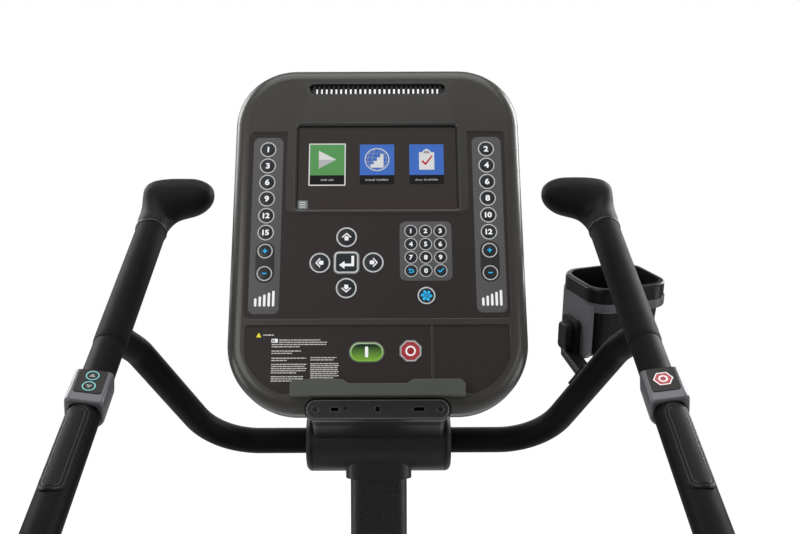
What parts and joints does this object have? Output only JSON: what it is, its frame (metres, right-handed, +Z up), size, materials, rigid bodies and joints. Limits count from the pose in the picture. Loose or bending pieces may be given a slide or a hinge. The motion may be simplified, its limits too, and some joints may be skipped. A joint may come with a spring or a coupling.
{
  "type": "stair climber",
  "caption": "Gym stair climber: two independent pedals on parallel arms, shrouded drive, leaning column, sloping handrails, tilted touch console and lift-out cup holder.",
  "frame": {"origin": "on the floor at the centre of the footprint", "axes": "+Z up, +Y from the user towards the console, +X to the user's right"},
  "size_m": [0.8627, 1.3799, 1.6964],
  "materials": {
    "belt_rubber": "matt",
    "board_green": "solder resist",
    "bolt_black": "blackened",
    "boot_rubber": "matt",
    "bracket_black": "satin",
    "cap_black": "moulded",
    "cast_grey": "cast",
    "console_grey": "semi-gloss moulded",
    "face_black": "gloss",
    "foot_rubber": "matt",
    "frame_black": "textured powder coat",
    "grille_black": "moulded",
    "grip_rubber": "satin",
    "holder_grey": "satin",
    "key_dark": "satin",
    "key_green": "gloss",
    "key_red": "gloss",
    "key_ring": "gloss",
    "knob_black": "moulded",
    "lcd": "lit display",
    "ledge_grey": "satin",
    "lens_glass": "clear",
    "liner_black": "satin",
    "overlay_brown": "fine grain film",
    "pad_black": "satin",
    "pedal_black": "ribbed",
    "remote_grey": "metallic",
    "shroud_grey": "fine grain",
    "sleeve_rubber": "matt",
    "spring_steel": "oiled",
    "steel": "turned",
    "strap_fabric": "woven",
    "wheel_rubber": "matt",
    "yoke_black": "satin"
  },
  "bodies": {
    "frame": {"accessory_ledge": "ledge_grey", "alternator_body": "cast_grey", "base_frame": "frame_black", "column_boot": "boot_rubber", "console_front_shell": "console_grey", "console_neck": "frame_black", "console_rear_shell": "console_grey", "control_board": "board_green", "crossbar": "frame_black", "drive_belt": "belt_rubber", "drive_straps": "strap_fabric", "fan_grille": "grille_black", "fan_housing": "grille_black", "frame_bolts": "bolt_black", "holder_bracket": "bracket_black", "holder_frame": "holder_grey", "key_overlay": "overlay_brown", "left_handrail": "frame_black", "left_shroud": "shroud_grey", "levelling_feet": "foot_rubber", "lower_overlay": "overlay_brown", "membrane_keys": "key_dark", "palm_grips": "grip_rubber", "pivot_shafts": "steel", "port_bar": "bracket_black", "pulse_pads": "pad_black", "rail_sleeves": "sleeve_rubber", "remote_faces": "face_black", "remote_housings": "remote_grey", "return_springs": "spring_steel", "right_handrail": "frame_black", "right_shroud": "shroud_grey", "screen_lens": "lens_glass", "screen_module": "lcd", "tube_end_caps": "cap_black", "upright_column": "frame_black", "yoke_end_caps": "cap_black", "yoke_housing": "yoke_black"},
    "right_arm": {"right_pedal_arm": "frame_black"},
    "left_arm": {"left_pedal_arm": "frame_black"},
    "right_lower_link": {"right_link": "frame_black"},
    "left_lower_link": {"left_link": "frame_black"},
    "right_foot_pedal": {"right_pedal": "pedal_black"},
    "left_foot_pedal": {"left_pedal": "pedal_black"},
    "right_drum": {"right_clutch_drum": "steel"},
    "left_drum": {"left_clutch_drum": "steel"},
    "drive_wheel": {"drive_pulley": "steel"},
    "generator_rotor": {"alternator_pulley": "steel"},
    "fan_rotor": {"fan_impeller": "grille_black"},
    "cup_liner": {"holder_liner": "liner_black"},
    "holder_release": {"release_pad": "knob_black"},
    "left_transport_wheel": {"left_wheel": "wheel_rubber"},
    "right_transport_wheel": {"right_wheel": "wheel_rubber"},
    "start_button": {"start_key": "key_green"},
    "stop_button": {"stop_key": "key_red"},
    "enter_button": {"enter_key": "key_dark"},
    "fan_button": {"fan_key": "key_dark"},
    "speed_up_button": {"speed_up_key": "key_ring"},
    "speed_down_button": {"speed_down_key": "key_ring"},
    "rail_stop_button": {"rail_stop_key": "key_red"}
  },
  "joints": [
    {"name": "right_arm_swing", "type": "hinge", "parent": "frame", "child": "right_arm", "pos_m": [0.093, 0.4, 0.3], "axis": [1, 0, 0], "range_deg": [0, 28], "deforming": ["drive_straps", "return_springs"]},
    {"name": "right_link_swing", "type": "hinge", "parent": "frame", "child": "right_lower_link", "pos_m": [0.064, 0.4, 0.25], "axis": [1, 0, 0], "range_deg": [0, 28]},
    {"name": "right_pedal_level", "type": "hinge", "parent": "right_arm", "child": "right_foot_pedal", "pos_m": [0.093, -0.17955, 0.45529], "axis": [1, 0, 0], "range_deg": [-28, 0]},
    {"name": "right_drum_turn", "type": "hinge", "parent": "frame", "child": "right_drum", "pos_m": [0.093, 0.367, 0.62], "axis": [1, 0, 0], "range_deg": [0, 146.66]},
    {"name": "left_arm_swing", "type": "hinge", "parent": "frame", "child": "left_arm", "pos_m": [-0.093, 0.4, 0.3], "axis": [1, 0, 0], "range_deg": [0, 28], "deforming": ["drive_straps", "return_springs"]},
    {"name": "left_link_swing", "type": "hinge", "parent": "frame", "child": "left_lower_link", "pos_m": [-0.064, 0.4, 0.25], "axis": [1, 0, 0], "range_deg": [0, 28]},
    {"name": "left_pedal_level", "type": "hinge", "parent": "left_arm", "child": "left_foot_pedal", "pos_m": [-0.093, -0.17955, 0.45529], "axis": [1, 0, 0], "range_deg": [-28, 0]},
    {"name": "left_drum_turn", "type": "hinge", "parent": "frame", "child": "left_drum", "pos_m": [-0.093, 0.367, 0.62], "axis": [1, 0, 0], "range_deg": [0, 146.66]},
    {"name": "drive_pulley_turn", "type": "hinge", "parent": "frame", "child": "drive_wheel", "pos_m": [0, 0.367, 0.62], "axis": [1, 0, 0], "continuous": true},
    {"name": "alternator_pulley_turn", "type": "hinge", "parent": "frame", "child": "generator_rotor", "pos_m": [0.057, 0.42, 0.7], "axis": [1, 0, 0], "continuous": true},
    {"name": "fan_turn", "type": "hinge", "parent": "frame", "child": "fan_rotor", "pos_m": [0, 0.62615, 1.62349], "axis": [1, 0, 0], "continuous": true},
    {"name": "liner_lift", "type": "slide", "parent": "frame", "child": "cup_liner", "axis": [0, 0, 1], "range_m": [0, 0.022]},
    {"name": "release_pad_press", "type": "slide", "parent": "frame", "child": "holder_release", "axis": [0.9511, 0.309, 0], "range_m": [0, 0.002]},
    {"name": "right_wheel_roll", "type": "hinge", "parent": "frame", "child": "right_transport_wheel", "pos_m": [0.26, 0.608, 0.038], "axis": [1, 0, 0], "continuous": true},
    {"name": "left_wheel_roll", "type": "hinge", "parent": "frame", "child": "left_transport_wheel", "pos_m": [-0.26, 0.608, 0.038], "axis": [1, 0, 0], "continuous": true},
    {"name": "start_key_press", "type": "slide", "parent": "frame", "child": "start_button", "axis": [0, 0.829, -0.5592], "range_m": [0, 0.0008]},
    {"name": "stop_key_press", "type": "slide", "parent": "frame", "child": "stop_button", "axis": [0, 0.829, -0.5592], "range_m": [0, 0.0008]},
    {"name": "enter_key_press", "type": "slide", "parent": "frame", "child": "enter_button", "axis": [0, 0.829, -0.5592], "range_m": [0, 0.0008]},
    {"name": "fan_key_press", "type": "slide", "parent": "frame", "child": "fan_button", "axis": [0, 0.829, -0.5592], "range_m": [0, 0.0008]},
    {"name": "speed_up_key_press", "type": "slide", "parent": "frame", "child": "speed_up_button", "axis": [-0.1736, 0.2994, -0.9382], "range_m": [0, 0.001]},
    {"name": "speed_down_key_press", "type": "slide", "parent": "frame", "child": "speed_down_button", "axis": [-0.1736, 0.2994, -0.9382], "range_m": [0, 0.001]},
    {"name": "rail_stop_key_press", "type": "slide", "parent": "frame", "child": "rail_stop_button", "axis": [0.1736, 0.2994, -0.9382], "range_m": [0, 0.001]}
  ],
  "couplings": [
    {"joint": "right_link_swing", "follows": "right_arm_swing", "ratio": 1},
    {"joint": "right_pedal_level", "follows": "right_arm_swing", "ratio": -1},
    {"joint": "right_drum_turn", "follows": "right_arm_swing", "ratio": 5.22},
    {"joint": "left_link_swing", "follows": "left_arm_swing", "ratio": 1},
    {"joint": "left_pedal_level", "follows": "left_arm_swing", "ratio": -1},
    {"joint": "left_drum_turn", "follows": "left_arm_swing", "ratio": 5.22},
    {"joint": "alternator_pulley_turn", "follows": "drive_pulley_turn", "ratio": 3.3333}
  ]
}
